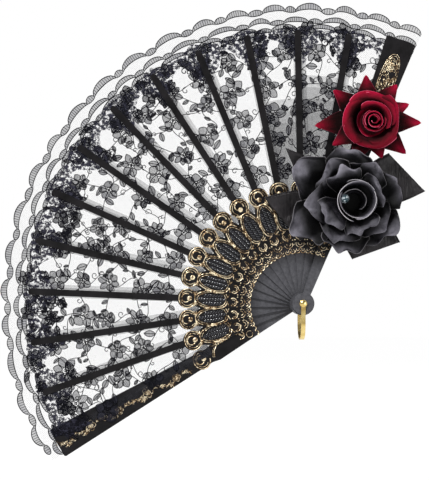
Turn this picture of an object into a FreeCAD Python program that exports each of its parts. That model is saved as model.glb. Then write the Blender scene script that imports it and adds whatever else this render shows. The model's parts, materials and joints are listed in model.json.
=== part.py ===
import FreeCAD, Part

import math
import os

# A folding lace hand fan, held upright by its head: two guards and the sticks between them turn on
# one rivet. Millimetres and degrees. The origin is the centre of the rivet, +Y runs along the rivet
# from the front of the fan to its back, +Z is up, and the leaf opens to the left of the front guard.

# The fan as a whole
STICKS = 12                  # between the two guards
OPEN_ANGLE = 140.4           # between the axes of the two guards
FRONT_ANGLE = 69.4           # the front guard's axis, above +X
GUARD_REACH = 217.0          # rivet to the end of a guard
RIB_REACH = 211.0            # rivet to the tip of a rib
LEAF_INNER = 96.4            # the lace leaf, from the rivet
LEAF_OUTER = 214.0
EDGING_DEPTH = 18.0          # the gathered edging beyond the leaf

# Thicknesses along the rivet
STICK_THICK = 0.9
STICK_GAP = 0.6              # free space between neighbours, where the leaf folds away
GUARD_THICK = 2.4
HEAD_RECESS = 0.3            # a guard's outer face is this much lower round the rivet
LACE_THICK = 0.2

# A stick, seen from the front, with its axis along the local +X
STICK_HEAD = 9.0             # radius of the round end on the rivet
GUARD_HEAD = 8.2
NECK_START = 7.0             # along the axis, where the shank leaves the head
NECK_HALF = 2.9              # half widths of the shank, at the neck and at the blade
SHANK_END = 38.4
SHANK_HALF = 4.6
BLADE_WIDEST = 75.5          # along the axis, where the ornamental blade is widest
BLADE_HALF = 8.3
GUARD_BLADE_HALF = 7.0
WAIST_AT = 81.5              # the narrow place between the blade and the medallion
WAIST_HALF = 5.8
MEDALLION_AT = 88.4          # centre and radius of the round end of the blade
MEDALLION_RADIUS = 7.6
RIB_WIDTH = 5.0
GUARD_ROOT_HALF = 6.2        # half width of a guard where it leaves the medallion
GUARD_TIP_HALF = 11.8
GUARD_CORNER = 1.6           # rounding of a guard's outer corners
RECESS_RADIUS = 11.0         # the recess round the rivet on a guard's outer face

# Rivet and bail
RIVET_RADIUS = 1.5
RUNNING_CLEARANCE = 0.06     # radial, in every bore on the rivet
RIVET_HEAD_RADIUS = 2.5
RIVET_HEAD_RISE = 0.9
BAIL_WIDTH = 3.4
BAIL_THICK = 0.9
BAIL_EYE = 2.9               # radius of the round end of a leg
BAIL_DROP = 28.0             # rivet to the outside of the bend
SIDE_CLEARANCE = 0.12        # between the bail's eyes and the guards, and under the rivet heads

# Flowers and ribbon on the front guard
BACKING_THICK = 1.2
BLACK_ROSE_AT = (34.5, 79.0)     # centre, in X and Z
BLACK_BASE_RADIUS = 8.0
BLACK_RINGS = (                  # petals, reach, rise towards the viewer, lift off the base, turn
    ("black_rose_outer_petals", 5, 43.0, 11.0, 1.0, 90.0),
    ("black_rose_middle_petals", 5, 32.0, 17.0, 4.5, 54.0),
    ("black_rose_inner_petals", 3, 20.0, 19.0, 8.0, 20.0),
)
BLACK_BUD = (6.0, 11.0, 23.0)    # radii at its foot and its top, and its height above the base
STONE_RADIUS = 3.5               # a cut glass stone, glued on the bud beside its middle
STONE_TABLE = 2.0
STONE_THICK = 2.4
STONE_OFFSET = (-6.5, 1.5)
RED_ROSE_AT = (50.0, 141.0)
RED_BASE_RADIUS = 6.0
POINTED_PETALS = 9
POINTED_REACH = 39.0
POINTED_HALF = 9.0               # half width of a pointed petal at its widest
POINTED_RISE = 4.0
POINTED_LIFT = 0.8
POINTED_TURN = 95.0
RED_RINGS = (
    ("red_rose_outer_petals", 5, 23.0, 17.0, 3.0, 10.0),
    ("red_rose_inner_petals", 3, 13.5, 18.0, 6.5, 70.0),
)
RED_BUD = (3.5, 7.0, 23.0)
PETAL_THICK = 0.8
PETAL_SPACING = 0.97             # a petal's width as a share of the room it has
CLAW_START = 0.9                 # a petal's foot is trimmed to the core, and starts inside it
CLAW_SHARE = 0.9                 # its width there, as a share of the room it has
BOWL_MIDDLE = 0.55               # where a bowl is measured between its foot and its rim,
BOWL_SAG = 0.38                  # and the share of its rise that it has there
RIBBON_WIDTH = 38.0
LOOP_THICK = 2.8                 # a flattened loop, outside
LAYER_GAP = 0.3                  # between the two layers of loops
RIBBON_LOOPS = (                 # name, direction, length from the knot, layer, end's slant
    ("ribbon_loop_right", 26.0, 50.5, 0, 18.0),
    ("ribbon_loop_left", 195.0, 53.0, 0, 25.0),
    ("ribbon_loop_lower", -61.0, 43.5, 1, -9.5),
    ("ribbon_loop_upper", 158.0, 41.0, 1, 45.0),
)
KNOT_RADIUS = 7.0
KNOT_ARM = 8.0                   # from the knot to where a loop starts
KNOT_ARM_HALF = 9.0
ARM_THICK = 1.5

# Worked out from the sizes above
STEP = OPEN_ANGLE / (STICKS + 1)
PITCH = STICK_THICK + STICK_GAP
STACK_HALF = (STICKS * PITCH + STICK_GAP) / 2        # to the inner face of a guard
FACE = STACK_HALF + GUARD_THICK                      # to the outer face of a guard
BORE_RADIUS = RIVET_RADIUS + RUNNING_CLEARANCE
LEG_INNER = FACE - HEAD_RECESS + SIDE_CLEARANCE      # to the inner face of a bail leg
LEG_OUTER = LEG_INNER + BAIL_THICK
RIBBON_LAYER = LOOP_THICK + LAYER_GAP
ROSE_BASE = FACE + BACKING_THICK + 2 * RIBBON_LAYER  # the black rose stands on the ribbon

ALONG = FreeCAD.Vector(0, 1, 0)
CENTRE = FreeCAD.Vector(0, 0, 0)
TO_VIEWER = FreeCAD.Vector(0, -1, 0)


def spot(x, z, y=0.0):
    return FreeCAD.Vector(x, y, z)


def polygon_face(points):
    corners = [spot(x, z) for x, z in points]
    return Part.Face(Part.makePolygon(corners + corners[:1]))


def disc(x, z, radius):
    return Part.Face(Part.Wire(Part.makeCircle(radius, spot(x, z), ALONG)))


def plate(faces, front, thick):
    """Faces in the XZ plane, joined, bored for the rivet and given a thickness behind y = front."""
    flat = faces[0].multiFuse(faces[1:]).cut(disc(0, 0, BORE_RADIUS)).removeSplitter()
    solid = flat.Faces[0].extrude(ALONG * thick)
    solid.translate(ALONG * front)
    return solid


def prism(faces, sweep):
    """Faces in the XZ plane swept along a vector and joined to one solid."""
    solids = [face.extrude(sweep) for face in faces]
    return solids[0].multiFuse(solids[1:]).removeSplitter()


def turned(shape, angle):
    """The shape turned anticlockwise, as seen from the front, about the rivet."""
    shape.rotate(CENTRE, ALONG, -angle)
    return shape


def taper(start, end, half_start, half_end):
    return polygon_face([
        (start, -half_start), (end, -half_end), (end, half_end), (start, half_start)])


def handle_faces(head_radius, blade_half):
    """Head, shank, blade and medallion, which every stick and guard has."""
    return [
        disc(0, 0, head_radius),
        taper(NECK_START, SHANK_END, NECK_HALF, SHANK_HALF),
        taper(SHANK_END, BLADE_WIDEST, SHANK_HALF, blade_half),
        taper(BLADE_WIDEST, WAIST_AT, blade_half, WAIST_HALF),
        taper(WAIST_AT, MEDALLION_AT, WAIST_HALF, WAIST_HALF),
        disc(MEDALLION_AT, 0, MEDALLION_RADIUS),
    ]


def stick_angle(number):
    """0 is the front guard, 1 to STICKS the sticks, and STICKS + 1 the rear guard."""
    return FRONT_ANGLE + number * STEP


def back_face(number):
    """Where the back of a stick, or of the front guard, lies along the rivet."""
    return -STACK_HALF + number * PITCH


def stick(number):
    rib_half = RIB_WIDTH / 2
    rib_end = RIB_REACH - rib_half
    faces = handle_faces(STICK_HEAD, BLADE_HALF) + [
        taper(MEDALLION_AT, rib_end, rib_half, rib_half),
        disc(rib_end, 0, rib_half),
    ]
    body = plate(faces, back_face(number) - STICK_THICK, STICK_THICK)
    return turned(body, stick_angle(number))


def guard(number, front, outer_side):
    """outer_side is -1 for the front guard, whose outer face is at the front, and 1 for the rear."""
    shoulder = GUARD_REACH - GUARD_CORNER
    flat_half = GUARD_TIP_HALF - GUARD_CORNER
    faces = handle_faces(GUARD_HEAD, GUARD_BLADE_HALF) + [
        taper(MEDALLION_AT, shoulder, GUARD_ROOT_HALF, GUARD_TIP_HALF),
        taper(shoulder - GUARD_CORNER, GUARD_REACH, flat_half, flat_half),
        disc(shoulder, -flat_half, GUARD_CORNER),
        disc(shoulder, flat_half, GUARD_CORNER),
    ]
    body = plate(faces, front, GUARD_THICK)
    recess_front = -FACE if outer_side < 0 else FACE - HEAD_RECESS
    recess = Part.makeCylinder(RECESS_RADIUS, HEAD_RECESS, spot(0, 0, recess_front), ALONG)
    return turned(body.cut(recess), stick_angle(number))


def sector(inner, outer, start, end, front, thick):
    """A flat piece of a ring about the rivet, between two angles."""
    ring = Part.makeCylinder(outer, thick, spot(0, 0, front), ALONG)
    ring = ring.cut(Part.makeCylinder(inner, thick, spot(0, 0, front), ALONG))
    reach = 2 * outer
    corners = [(0, 0)] + [
        (reach * math.cos(math.radians(a)), reach * math.sin(math.radians(a))) for a in (start, end)]
    wedge = polygon_face(corners).extrude(ALONG * thick)
    wedge.translate(ALONG * front)
    return ring.common(wedge)


def leaf_panel(number):
    """The lace between a stick and the next, glued to the back of the first."""
    first = stick_angle(number)
    return sector(LEAF_INNER, LEAF_OUTER, first, first + STEP, back_face(number), LACE_THICK)


def edging_panel(number):
    first = stick_angle(number)
    return sector(
        LEAF_OUTER, LEAF_OUTER + EDGING_DEPTH, first, first + STEP, back_face(number), LACE_THICK)


def rivet():
    under_head = LEG_OUTER + SIDE_CLEARANCE
    shaft = Part.makeCylinder(RIVET_RADIUS, 2 * under_head, spot(0, 0, -under_head), ALONG)
    ball = (RIVET_HEAD_RADIUS ** 2 + RIVET_HEAD_RISE ** 2) / (2 * RIVET_HEAD_RISE)
    heads = []
    for side in (-1, 1):
        centre = spot(0, 0, side * (under_head + RIVET_HEAD_RISE - ball))
        slab_start = under_head if side > 0 else -under_head - RIVET_HEAD_RISE
        slab = Part.makeCylinder(2 * ball, RIVET_HEAD_RISE, spot(0, 0, slab_start), ALONG)
        heads.append(Part.makeSphere(ball, centre).common(slab))
    return shaft.multiFuse(heads).removeSplitter()


def bail():
    """A flat strap bent to a U round the head of the fan, hanging from the rivet."""
    middle = (LEG_INNER + LEG_OUTER) / 2
    bend_z = -(BAIL_DROP - LEG_OUTER)

    def arch(half, top):
        start, end = FreeCAD.Vector(0, -half, top), FreeCAD.Vector(0, half, top)
        low_start, low_end = FreeCAD.Vector(0, -half, bend_z), FreeCAD.Vector(0, half, bend_z)
        bottom = FreeCAD.Vector(0, 0, bend_z - half)
        edges = [
            Part.LineSegment(start, low_start).toShape(),
            Part.Arc(low_start, bottom, low_end).toShape(),
            Part.LineSegment(low_end, end).toShape(),
            Part.LineSegment(end, start).toShape(),
        ]
        return Part.Face(Part.Wire(edges))

    strap = arch(LEG_OUTER, 0.0).cut(arch(LEG_INNER, 1.0))
    strap = strap.extrude(FreeCAD.Vector(BAIL_WIDTH, 0, 0))
    strap.translate(FreeCAD.Vector(-BAIL_WIDTH / 2, 0, 0))
    eyes = [
        Part.makeCylinder(BAIL_EYE, BAIL_THICK, spot(0, 0, side * middle - BAIL_THICK / 2), ALONG)
        for side in (-1, 1)]
    body = strap.multiFuse(eyes)
    hole = Part.makeCylinder(BORE_RADIUS, 2 * LEG_OUTER, spot(0, 0, -LEG_OUTER), ALONG)
    return body.cut(hole).removeSplitter()


def moved_to_flower(shape, place, depth):
    """A shape made round the Y axis, with y = 0 on its base, put at a flower's place."""
    shape.translate(FreeCAD.Vector(place[0], -depth, place[1]))
    return shape


def petal_shell(base_radius, reach, rise, lift):
    """A bowl that opens towards the viewer, thin, and rounded like a cupped petal."""
    middle = base_radius + (reach - base_radius) * BOWL_MIDDLE
    start = FreeCAD.Vector(base_radius, -lift, 0)
    through = FreeCAD.Vector(middle, -lift - rise * BOWL_SAG, 0)
    end = FreeCAD.Vector(reach, -lift - rise, 0)
    back = FreeCAD.Vector(0, -PETAL_THICK, 0)
    edges = [
        Part.Arc(start, through, end).toShape(),
        Part.LineSegment(end, end + back).toShape(),
        Part.Arc(end + back, through + back, start + back).toShape(),
        Part.LineSegment(start + back, start).toShape(),
    ]
    return Part.Face(Part.Wire(edges)).revolve(CENTRE, ALONG, 360)


def petal_ring(base_radius, count, reach, rise, lift, turn):
    """Rounded petals cut from one bowl, clear of each other."""
    share = math.sin(math.pi / count) * PETAL_SPACING
    lobe_at = reach / (1 + share)
    claw_half = base_radius * share * CLAW_SHARE
    bowl = petal_shell(base_radius, reach, rise, lift)
    height = lift + rise + PETAL_THICK
    petals = []
    for number in range(count):
        lobe = disc(lobe_at, 0, lobe_at * share)
        claw = taper(base_radius * CLAW_START, lobe_at, claw_half, claw_half)
        outline = turned(prism([lobe, claw], TO_VIEWER * height), turn + number * 360.0 / count)
        petals += bowl.common(outline).Solids
    return Part.makeCompound(petals)


def pointed_petals():
    """The ring of pointed petals under the red rose, one flat dish cut into kites."""
    dish = petal_shell(RED_BASE_RADIUS, POINTED_REACH, POINTED_RISE, POINTED_LIFT)
    root = RED_BASE_RADIUS * CLAW_START
    root_half = RED_BASE_RADIUS * math.sin(math.pi / POINTED_PETALS) * CLAW_SHARE
    widest = POINTED_HALF / math.tan(math.pi / POINTED_PETALS) / PETAL_SPACING
    petals = []
    for number in range(POINTED_PETALS):
        outline = polygon_face([
            (root, -root_half), (widest, -POINTED_HALF), (POINTED_REACH, 0),
            (widest, POINTED_HALF), (root, root_half)])
        outline = outline.extrude(TO_VIEWER * POINTED_REACH)
        turn = POINTED_TURN + number * 360.0 / POINTED_PETALS
        petals += dish.common(turned(outline, turn)).Solids
    return Part.makeCompound(petals)


def bud(foot_radius, top_radius, height, foot):
    """The rolled middle of a flower, which widens from the core to its top."""
    return Part.makeCone(foot_radius, top_radius, height - foot, spot(0, 0, -foot), TO_VIEWER)


def flower_base(radius, rings):
    """The padded core that a flower's petals are glued round."""
    top = rings[-1][4] + PETAL_THICK
    return Part.makeCylinder(radius, top, CENTRE, TO_VIEWER)


def ribbon_loop(direction, length, layer, slant):
    """A loop of ribbon pressed flat against its own lining, with its fold on the slant."""
    half = RIBBON_WIDTH / 2
    start = KNOT_RADIUS + KNOT_ARM
    lean = half * math.tan(math.radians(slant))
    outline = [(start, -half), (length + lean, -half), (length - lean, half), (start, half)]
    body = polygon_face(outline).extrude(TO_VIEWER * LOOP_THICK)
    depth = FACE + BACKING_THICK + layer * RIBBON_LAYER
    return moved_to_flower(turned(body, direction), BLACK_ROSE_AT, depth)


def ribbon_knot():
    """The gathered middle of the bow, which carries the loops and the black rose."""
    body = Part.makeCylinder(KNOT_RADIUS, 2 * RIBBON_LAYER, CENTRE, TO_VIEWER)
    arms = []
    for name, direction, length, layer, slant in RIBBON_LOOPS:
        arm = taper(0, KNOT_RADIUS + KNOT_ARM, KNOT_RADIUS, KNOT_ARM_HALF).extrude(TO_VIEWER * ARM_THICK)
        arm.translate(TO_VIEWER * (layer * RIBBON_LAYER + (LOOP_THICK - ARM_THICK) / 2))
        arms.append(turned(arm, direction))
    body = body.multiFuse(arms).removeSplitter()
    return moved_to_flower(body, BLACK_ROSE_AT, FACE + BACKING_THICK)


def backing(place, radius):
    """A felt patch between the guard and what is glued to it."""
    patch = Part.makeCylinder(radius, BACKING_THICK, CENTRE, TO_VIEWER)
    return moved_to_flower(patch, place, FACE)


def parts():
    made = {"front_guard": guard(0, -FACE, -1), "rear_guard": guard(STICKS + 1, STACK_HALF, 1)}
    for number in range(1, STICKS + 1):
        made[f"stick_{number:02d}"] = stick(number)
    for number in range(STICKS + 1):
        made[f"leaf_panel_{number + 1:02d}"] = leaf_panel(number)
        made[f"edging_panel_{number + 1:02d}"] = edging_panel(number)
    made["rivet"] = rivet()
    made["bail"] = bail()
    made["ribbon_knot"] = ribbon_knot()
    for name, direction, length, layer, slant in RIBBON_LOOPS:
        made[name] = ribbon_loop(direction, length, layer, slant)
    made["black_rose_backing"] = backing(BLACK_ROSE_AT, KNOT_RADIUS)
    made["red_rose_backing"] = backing(RED_ROSE_AT, RED_BASE_RADIUS)
    red_base = FACE + BACKING_THICK
    for place, depth, radius, rings, bud_size, core in (
        (BLACK_ROSE_AT, ROSE_BASE, BLACK_BASE_RADIUS, BLACK_RINGS, BLACK_BUD, "black_rose"),
        (RED_ROSE_AT, red_base, RED_BASE_RADIUS, RED_RINGS, RED_BUD, "red_rose"),
    ):
        made[core + "_core"] = moved_to_flower(flower_base(radius, rings), place, depth)
        for name, count, reach, rise, lift, turn in rings:
            ring = petal_ring(radius, count, reach, rise, lift, turn)
            made[name] = moved_to_flower(ring, place, depth)
        foot = rings[-1][4] + PETAL_THICK
        made[core + "_bud"] = moved_to_flower(bud(*bud_size, foot), place, depth)
    made["red_rose_pointed_petals"] = moved_to_flower(pointed_petals(), RED_ROSE_AT, red_base)
    stone_foot = spot(STONE_OFFSET[0], STONE_OFFSET[1], -BLACK_BUD[2])
    stone = Part.makeCone(STONE_RADIUS, STONE_TABLE, STONE_THICK, stone_foot, TO_VIEWER)
    made["rose_stone"] = moved_to_flower(stone, BLACK_ROSE_AT, ROSE_BASE)
    return made


os.makedirs("parts", exist_ok=True)
for name, shape in parts().items():
    shape.exportStep(f"parts/{name}.step")
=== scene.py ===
# %% [markdown]
# A folding lace fan is three crafts in one object: moulded sticks with gilt relief, a machine-made
# lace leaf, and cloth flowers. The frame holds the sticks, the rivet and their joints. This lesson
# adds the looks, piece by piece, and every place is worked out from the frame.

import json
import math
import random

import bpy
import numpy as np
from mathutils import Matrix, Vector, noise

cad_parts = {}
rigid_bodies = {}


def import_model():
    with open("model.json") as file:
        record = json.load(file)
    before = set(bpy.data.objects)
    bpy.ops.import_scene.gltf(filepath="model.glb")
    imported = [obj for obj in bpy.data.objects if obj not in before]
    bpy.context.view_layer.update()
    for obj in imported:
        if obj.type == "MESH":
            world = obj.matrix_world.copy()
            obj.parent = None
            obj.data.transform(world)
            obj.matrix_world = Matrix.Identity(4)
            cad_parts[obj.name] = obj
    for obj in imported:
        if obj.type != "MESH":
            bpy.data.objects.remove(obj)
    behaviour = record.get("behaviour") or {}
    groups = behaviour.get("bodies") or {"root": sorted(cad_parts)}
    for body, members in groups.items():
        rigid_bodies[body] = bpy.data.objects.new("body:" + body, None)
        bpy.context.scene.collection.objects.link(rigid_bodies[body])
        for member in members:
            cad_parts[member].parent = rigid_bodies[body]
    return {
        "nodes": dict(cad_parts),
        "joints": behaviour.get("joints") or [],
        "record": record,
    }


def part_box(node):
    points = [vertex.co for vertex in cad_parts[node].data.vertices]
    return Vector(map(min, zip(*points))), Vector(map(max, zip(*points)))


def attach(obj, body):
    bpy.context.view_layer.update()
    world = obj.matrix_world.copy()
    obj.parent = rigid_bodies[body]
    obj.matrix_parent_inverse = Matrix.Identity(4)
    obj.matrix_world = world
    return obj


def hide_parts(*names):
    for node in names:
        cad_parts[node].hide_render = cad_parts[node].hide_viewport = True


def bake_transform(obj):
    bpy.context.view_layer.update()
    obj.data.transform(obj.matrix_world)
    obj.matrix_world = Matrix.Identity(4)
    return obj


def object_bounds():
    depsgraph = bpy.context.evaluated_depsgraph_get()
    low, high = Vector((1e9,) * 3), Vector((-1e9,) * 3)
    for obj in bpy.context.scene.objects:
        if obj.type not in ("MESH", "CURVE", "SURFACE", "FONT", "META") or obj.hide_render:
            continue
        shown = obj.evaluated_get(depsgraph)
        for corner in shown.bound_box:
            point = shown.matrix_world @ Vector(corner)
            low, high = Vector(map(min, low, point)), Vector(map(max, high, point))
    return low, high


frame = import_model()
cad_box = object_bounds()
MM = 0.001

# %% [markdown]
# Each stick is a plate that points away from the rivet, so all that the later cells need is its
# angle, how far it reaches and where its two faces lie along the rivet. Reading these from the mesh
# keeps the ornament on the sticks if their angles or thickness change.

# %% Where every stick lies
FOLDS = [joint for joint in frame["joints"] if joint["name"].startswith("fold")]
STEP = FOLDS[0]["range_deg"][1]
BODIES = [FOLDS[0]["parent"]] + [joint["child"] for joint in FOLDS]
PANELS = len(FOLDS)
STICK_NODES = ["front_guard"] + [f"stick_{k:02d}" for k in range(1, PANELS)] + ["rear_guard"]


def points_of(node):
    """The points of a part of the frame, in millimetres."""
    return np.array([v.co for v in frame["nodes"][node].data.vertices]) / MM


def measure_stick(node):
    """Angle in degrees, reach, front and back face in millimetres."""
    co = points_of(node)
    radius = np.hypot(co[:, 0], co[:, 2])
    tip = co[radius > 0.985 * radius.max()]
    angles = np.degrees(np.arctan2(tip[:, 2], tip[:, 0])) % 360
    middle = (angles.min() + angles.max()) / 2
    return {"angle": middle, "reach": radius.max(), "front": co[:, 1].min(), "back": co[:, 1].max()}


def add_to_scene(name, data):
    obj = bpy.data.objects.new(name, data)
    bpy.context.scene.collection.objects.link(obj)
    return obj


def steps_between(start, end, count):
    return [start + (end - start) * n / count for n in range(count + 1)]


def smooth_step(value):
    value = min(1.0, max(0.0, value))
    return value * value * (3 - 2 * value)


def around(x, y, radius, angle):
    return (x + radius * math.cos(angle), y + radius * math.sin(angle))


def part_way(a, b, share):
    return (a[0] + (b[0] - a[0]) * share, a[1] + (b[1] - a[1]) * share)


STICKS = [measure_stick(node) for node in STICK_NODES]
OPEN_START = STICKS[0]["angle"]
OPEN_END = STICKS[-1]["angle"]
FACES = [stick["back"] for stick in STICKS[:-1]] + [STICKS[-1]["front"] - 0.5]
print("sticks every", STEP, "degrees from", round(OPEN_START, 1), "to", round(OPEN_END, 1))

# %% [markdown]
# Shader maths is easiest to read as arithmetic. A small class wraps a node's output, and its
# operators add Math nodes. Everything that isn't arithmetic comes from one method, which takes the
# node's type, its settings and the values or links of its sockets.

# %% A small language for materials
def arithmetic(operation, swapped=False):
    """A method that joins a wire and something else with one Math node."""
    def join(wire, other=0.0):
        first, second = (other, wire) if swapped else (wire, other)
        return wire.finish.node("Math", {"operation": operation}, {0: first, 1: second})
    return join


class Wire:
    """An output in a material's node tree, which can be used in sums and products."""

    def __init__(self, finish, socket):
        self.finish = finish
        self.socket = socket

    __add__ = arithmetic("ADD")
    __sub__ = arithmetic("SUBTRACT")
    __rsub__ = arithmetic("SUBTRACT", swapped=True)
    __mul__ = arithmetic("MULTIPLY")
    __lt__ = arithmetic("LESS_THAN")
    __radd__ = __add__
    __rmul__ = __mul__
    fraction = arithmetic("FRACT")
    either = arithmetic("MAXIMUM")


class Finish:
    """A material being made: a tree with one Principled shader in it."""

    def __init__(self, name, **constants):
        self.material = bpy.data.materials.new(name)
        self.material.use_nodes = True
        self.tree = self.material.node_tree
        self.shader = self.tree.nodes["Principled BSDF"]
        self.shade(**constants)

    def plug(self, node, socket, value):
        if isinstance(value, Wire):
            self.tree.links.new(value.socket, node.inputs[socket])
        elif isinstance(value, tuple) and len(value) == 3 and node.inputs[socket].type == "RGBA":
            node.inputs[socket].default_value = (*value, 1.0)
        else:
            node.inputs[socket].default_value = value

    def node(self, kind, settings=None, inputs=None, output=0):
        made = self.tree.nodes.new("ShaderNode" + kind)
        for key, value in (settings or {}).items():
            if key == "stops":
                for number, (position, colour) in enumerate(value):
                    ramp = made.color_ramp.elements
                    stop = ramp[number] if number < len(ramp) else ramp.new(position)
                    stop.position = position
                    stop.color = (*colour, 1.0)
            else:
                setattr(made, key, value)
        for socket, value in (inputs or {}).items():
            self.plug(made, socket, value)
        return Wire(self, made.outputs[output])

    def place(self):
        """The point on the object, in the frame's metres."""
        return self.node("TexCoord", output="Object")

    def flat(self):
        """The point on the cloth before it was pleated or gathered, in millimetres."""
        return self.node("UVMap", {"uv_map": "flat"})

    def speckle(self, where, scale, detail=3.0, roughness=0.55):
        return self.node("TexNoise", None, {
            "Vector": where, "Scale": scale, "Detail": detail, "Roughness": roughness})

    def tint(self, share, dark, light, between=(0.3, 0.7)):
        return self.node("ValToRGB", {"stops": list(zip(between, (dark, light)))}, {"Fac": share})

    def bump(self, height, distance, strength=1.0):
        return self.node("Bump", None, {"Height": height, "Distance": distance, "Strength": strength})

    def mix(self, share, first, second):
        """The first colour where share is 0, and the second where it is 1."""
        return self.node("Mix", {"data_type": "RGBA"}, {"Factor": share, 6: first, 7: second}, 2)

    def marked(self, attribute):
        """A number that the mesh carries on its points."""
        return self.node("Attribute", {"attribute_name": attribute}, output="Fac")

    def shade(self, **links):
        for socket, value in links.items():
            self.plug(self.shader, socket.replace("_", " "), value)
        return self.material


# %% [markdown]
# The sticks are injection-moulded black plastic. Up close it is never quite black: the mould leaves
# faint flow marks along the stick and the surface has picked up tiny scratches, so roughness and a
# very shallow bump vary while the colour stays a warm near-black. Close to the rivet the colour is
# mixed towards grey: a painted sheen, standing in for the broad reflection on the blades there.

# %% Moulded black plastic
RIVET_SHEEN_FROM = 0.030
RIVET_SHEEN_TO = 0.046


def make_black_plastic():
    finish = Finish("black_plastic", Specular_IOR_Level=0.2)
    where = finish.place()
    flow = finish.speckle(where, 90.0, 4.0)
    grain = finish.speckle(where, 1400.0, 2.0)
    scratches = finish.speckle(where, 420.0, 6.0, 0.75)
    # Painted sheen: towards the rivet the colour turns from near-black to a scratched grey.
    distance = finish.node("VectorMath", {"operation": "LENGTH"}, {0: where}, 1)
    wear_and_sheen = finish.node("MapRange", None, {0: distance, 1: RIVET_SHEEN_FROM, 2: RIVET_SHEEN_TO, 3: 0.75, 4: 0.0})
    dark = finish.tint(flow, (0.002, 0.0018, 0.002), (0.008, 0.007, 0.008))
    grey = finish.tint(scratches, (0.045, 0.045, 0.052), (0.11, 0.11, 0.12))
    return finish.shade(
        Base_Color=finish.mix(wear_and_sheen, dark, grey),
        Roughness=0.26 + flow * 0.14 + scratches * 0.08,
        Normal=finish.bump(grain + scratches * 0.6, 0.00006, 0.6))


# %% [markdown]
# The gilding is rubbed onto the raised relief by hand, so it is bright on the crests and brown where
# the wax stayed in the hollows. Height above the plate isn't known to a shader, but patches of noise
# at the size of a scroll read the same way. The rope pattern in each cell stays bare and shiny.

# %% Gilt, rope and brass
def make_antique_gold():
    finish = Finish("antique_gold")
    where = finish.place()
    wear_and_sheen = finish.speckle(where, 620.0, 3.0)
    wax = finish.speckle(where, 210.0, 2.0)
    worn = wear_and_sheen * 0.6 + wax * 0.4
    stops = [(0.40, (0.020, 0.010, 0.005)), (0.47, (0.33, 0.21, 0.10)), (0.55, (0.93, 0.80, 0.56))]
    colour = finish.node("ValToRGB", {"stops": stops}, {"Fac": worn})
    return finish.shade(
        Base_Color=colour, Metallic=0.75, Roughness=0.52 - worn * 0.3,
        Normal=finish.bump(wear_and_sheen, 0.00008))


def make_rope_black():
    finish = Finish("rope_black", Specular_IOR_Level=1.0)
    shade = finish.speckle(finish.place(), 500.0)
    return finish.shade(
        Base_Color=finish.tint(shade, (0.001, 0.001, 0.002), (0.006, 0.007, 0.014)),
        Roughness=0.12 + shade * 0.12)


def make_polished_brass():
    finish = Finish("polished_brass", Metallic=1.0)
    where = finish.place()
    tarnish = finish.speckle(where, 160.0, 3.0)
    scratches = finish.speckle(where, 1500.0, 5.0, 0.7)
    return finish.shade(
        Base_Color=finish.tint(tarnish, (0.66, 0.45, 0.13), (0.93, 0.76, 0.34)),
        Roughness=0.16 + tarnish * 0.14 + scratches * 0.06,
        Normal=finish.bump(scratches, 0.00003))


# %% [markdown]
# The lace has five densities: an open net of crossed threads, the same net lying double, flowers
# worked in close parallel threads, heavy cords that outline them, and the gathered hem where many
# layers lie together. The net is a pattern of holes in the material, because its threads are a tenth
# of a millimetre, while the flowers and cords that the eye can follow are real geometry.

# %% Five densities of lace
NET_PITCH = 1.6
NET_THREAD = 0.045


def mesh_threads(finish, pitch, share):
    """1 on the threads of a diagonal net and 0 in its holes."""
    split = finish.node("SeparateXYZ", None, {0: finish.flat()})
    x, y = split, Wire(finish, split.socket.node.outputs[1])
    rising, falling = [(way * (1 / pitch)).fraction() < share for way in (x + y, x - y)]
    return rising.either(falling)


def make_lace(name, dark, light, scale, detail=2.0, roughness=0.55):
    """Matt thread in two shades, and the patches of noise that mix them."""
    finish = Finish(name, Roughness=0.9, Specular_IOR_Level=0.1)
    patches = finish.speckle(finish.flat(), scale, detail, roughness)
    finish.shade(Base_Color=finish.tint(patches, dark, light))
    return finish, patches


def make_lace_net():
    finish, _ = make_lace("lace_net", (0.012, 0.012, 0.016), (0.04, 0.04, 0.05), 0.08)
    return finish.shade(Alpha=mesh_threads(finish, NET_PITCH, NET_THREAD) * 0.9)


def make_lace_double():
    finish, wear = make_lace("lace_double", (0.010, 0.010, 0.012), (0.045, 0.045, 0.05), 0.15)
    return finish.shade(Alpha=0.16 + mesh_threads(finish, NET_PITCH * 0.6, 0.2) * 0.3 + wear * 0.16)


def make_lace_cloth():
    finish, patch = make_lace("lace_cloth", (0.007, 0.007, 0.011), (0.055, 0.056, 0.078), 0.055)
    return finish.shade(Alpha=0.12 + patch * 0.66 + mesh_threads(finish, 0.8, 0.3) * 0.12)


def make_lace_cord():
    finish = Finish("lace_cord", Roughness=0.9, Specular_IOR_Level=0.1)
    twist = finish.speckle(finish.place(), 900.0)
    return finish.shade(Base_Color=finish.tint(twist, (0.001, 0.001, 0.002), (0.008, 0.008, 0.012)))


def make_lace_gather():
    finish, knots = make_lace(
        "lace_gather", (0.003, 0.003, 0.006), (0.030, 0.030, 0.045), 0.35, 5.0, 0.7)
    return finish.shade(Alpha=finish.tint(knots, (0, 0, 0), (1, 1, 1), (0.44, 0.56)))
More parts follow.
